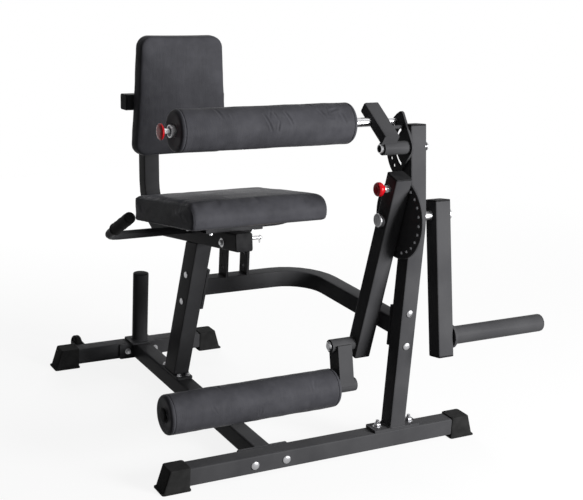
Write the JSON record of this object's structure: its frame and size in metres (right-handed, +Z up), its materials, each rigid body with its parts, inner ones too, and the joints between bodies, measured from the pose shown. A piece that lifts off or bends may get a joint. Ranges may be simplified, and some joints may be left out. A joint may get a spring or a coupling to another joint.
{
  "type": "leg extension and hamstring machine",
  "caption": "Plate-loaded leg extension and hamstring curl bench with a roller lever, thigh roller, perforated selector disc, handles and a sliding backrest.",
  "frame": {"origin": "middle of the footprint, on the floor", "axes": "+X runs along the rollers and out along the weight peg, to the user's left; +Y to the rear of the seat; +Z up"},
  "size_m": [1.1426, 1.1158, 1.0794],
  "materials": {
    "powder_coat": "black powder coat, satin",
    "vinyl": "black grained vinyl over foam",
    "rubber": "black moulded rubber, matte",
    "black_plastic": "black moulded plastic, fine grain",
    "chrome": "bright plated steel",
    "zinc": "zinc plated steel",
    "red_plastic": "red moulded plastic, glossy",
    "plywood": "plywood board"
  },
  "bodies": {
    "frame": {"boot_front_left": "rubber", "boot_front_right": "rubber", "boot_rear_left": "rubber", "boot_rear_right": "rubber", "centre_tube": "powder_coat", "curved_tube": "powder_coat", "front_stabilizer": "powder_coat", "rear_stabilizer": "powder_coat", "grip_left": "rubber", "grip_right": "rubber", "handle_bar": "powder_coat", "lock_lug": "powder_coat", "main_upright": "powder_coat", "main_upright_cap": "black_plastic", "seat_board": "plywood", "seat_cushion": "vinyl", "seat_tube": "powder_coat", "seat_tube_cap": "black_plastic", "seat_upright": "powder_coat", "sector_plate": "powder_coat", "storage_peg": "powder_coat", "storage_peg_plug": "black_plastic", "thigh_pivot_pin": "zinc", "back_pin_barrel": "zinc"},
    "weight_swing": {"axle": "zinc", "axle_nut": "zinc", "selector_disc": "powder_coat", "weight_arm": "powder_coat", "weight_arm_cap_top": "black_plastic", "weight_arm_cap_bottom": "black_plastic", "weight_peg": "powder_coat", "weight_peg_plug": "black_plastic"},
    "lever": {"lever_arm": "powder_coat", "lever_cap_top": "black_plastic", "lever_cap_bottom": "black_plastic", "lever_pin_barrel": "zinc", "link_pivot_pin": "zinc"},
    "lever_pull_pin": {"lever_pin": "chrome", "lever_pin_knob": "red_plastic"},
    "lower_link": {"lower_link": "powder_coat", "lower_roller_shaft": "zinc", "lower_roller_cap": "black_plastic"},
    "lower_roller": {"lower_roller_pad": "vinyl"},
    "thigh_arm": {"thigh_arm": "powder_coat", "thigh_roller_shaft": "chrome", "thigh_shaft_nut": "zinc"},
    "thigh_roller": {"thigh_roller_pad": "vinyl"},
    "thigh_rod": {"thigh_rod": "chrome", "thigh_rod_knob": "red_plastic"},
    "hitch_pin": {"hitch_pin": "chrome"},
    "backrest": {"back_carriage": "powder_coat", "back_bar_cap_left": "black_plastic", "back_bar_cap_right": "black_plastic", "back_board": "plywood", "back_cushion": "vinyl"},
    "back_pull_pin": {"back_pin": "chrome", "back_pin_knob": "red_plastic"},
    "wheel_left": {"wheel_left": "rubber"},
    "wheel_right": {"wheel_right": "rubber"}
  },
  "joints": [
    {"name": "main_swing", "type": "hinge", "parent": "frame", "child": "weight_swing", "pos_m": [0.1387, -0.44914, 0.669], "axis": [-1, 0, 0], "range_deg": [-25, 95]},
    {"name": "lever_select", "type": "hinge", "parent": "weight_swing", "child": "lever", "pos_m": [0.0687, -0.44914, 0.669], "axis": [-1, 0, 0], "range_deg": [-15, 75]},
    {"name": "lever_pin_pull", "type": "slide", "parent": "lever", "child": "lever_pull_pin", "axis": [-1, 0, 0], "range_m": [0, 0.012], "stiffness_N_per_m": 900, "springref_m": -0.006},
    {"name": "link_swing", "type": "hinge", "parent": "lever", "child": "lower_link", "pos_m": [-0.0193, -0.35149, 0.29142], "axis": [-1, 0, 0], "range_deg": [-30, 30]},
    {"name": "lower_roller_turn", "type": "hinge", "parent": "lower_link", "child": "lower_roller", "pos_m": [-0.2593, -0.37803, 0.18004], "axis": [1, 0, 0], "continuous": true},
    {"name": "thigh_swing", "type": "hinge", "parent": "frame", "child": "thigh_arm", "pos_m": [0.0207, -0.44814, 0.86], "axis": [-1, 0, 0], "range_deg": [0, 95]},
    {"name": "thigh_roller_turn", "type": "hinge", "parent": "thigh_arm", "child": "thigh_roller", "pos_m": [-0.2593, -0.39315, 0.92001], "axis": [1, 0, 0], "continuous": true},
    {"name": "thigh_rod_pull", "type": "slide", "parent": "thigh_arm", "child": "thigh_rod", "axis": [-1, 0, 0], "range_m": [0, 0.012], "stiffness_N_per_m": 900, "springref_m": -0.006},
    {"name": "hitch_pin_slide", "type": "slide", "parent": "frame", "child": "hitch_pin", "axis": [-1, 0, 0], "range_m": [0, 0.14]},
    {"name": "backrest_slide", "type": "slide", "parent": "frame", "child": "backrest", "axis": [0, -1, 0], "range_m": [-0.06, 0.06]},
    {"name": "back_pin_pull", "type": "slide", "parent": "frame", "child": "back_pull_pin", "axis": [0, 0, 1], "range_m": [0, 0.014], "stiffness_N_per_m": 900, "springref_m": -0.006},
    {"name": "wheel_left_turn", "type": "hinge", "parent": "frame", "child": "wheel_left", "pos_m": [-0.4483, 0.52786, 0.046], "axis": [1, 0, 0], "continuous": true},
    {"name": "wheel_right_turn", "type": "hinge", "parent": "frame", "child": "wheel_right", "pos_m": [-0.0703, 0.52786, 0.046], "axis": [1, 0, 0], "continuous": true}
  ]
}
